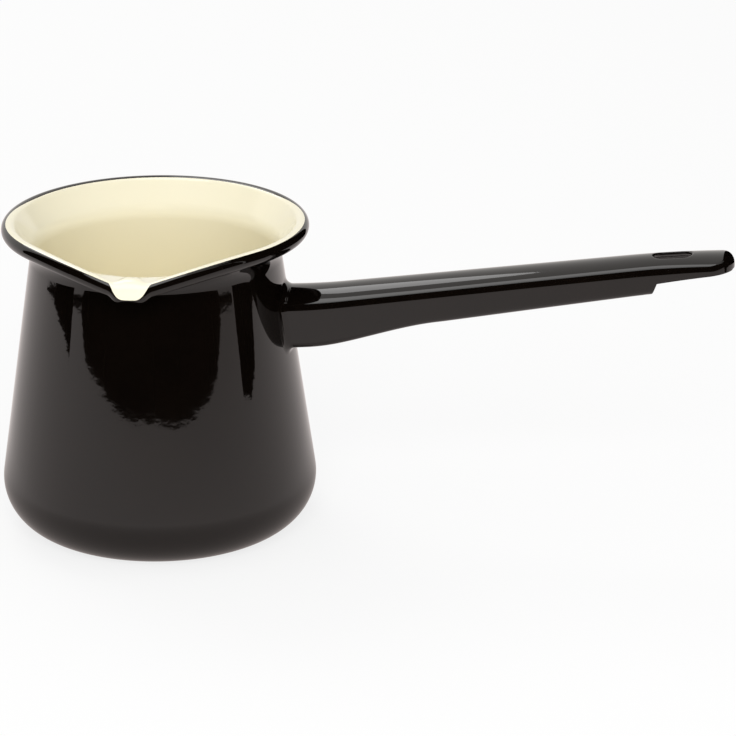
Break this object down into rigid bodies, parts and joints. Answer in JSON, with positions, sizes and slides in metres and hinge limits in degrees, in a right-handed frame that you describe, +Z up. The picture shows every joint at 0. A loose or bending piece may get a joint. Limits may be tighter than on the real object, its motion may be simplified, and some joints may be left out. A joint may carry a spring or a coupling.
{
  "type": "turkish coffee pot",
  "caption": "Small stovetop coffee pot of enamelled steel, black outside and cream inside, with a rolled rim, a side pouring lip and a long hollow handle with a hanging slot.",
  "frame": {"origin": "centre of the flat base, on the surface that the pot stands on", "axes": "+Z up along the pot's axis, +X along the handle, -Y towards the pouring lip"},
  "size_m": [0.2154, 0.097, 0.0942],
  "materials": {
    "steel": "bare sheet under the enamel, dull grey",
    "black_enamel": "gloss vitreous enamel, black with a warm cast",
    "cream_enamel": "gloss vitreous enamel, warm cream"
  },
  "bodies": {
    "root": {"body_shell": "steel", "outer_enamel": "black_enamel", "inner_enamel": "cream_enamel", "rim_edging": "black_enamel", "handle_shell": "steel", "handle_enamel": "black_enamel", "root_weld": "black_enamel"}
  },
  "joints": []
}
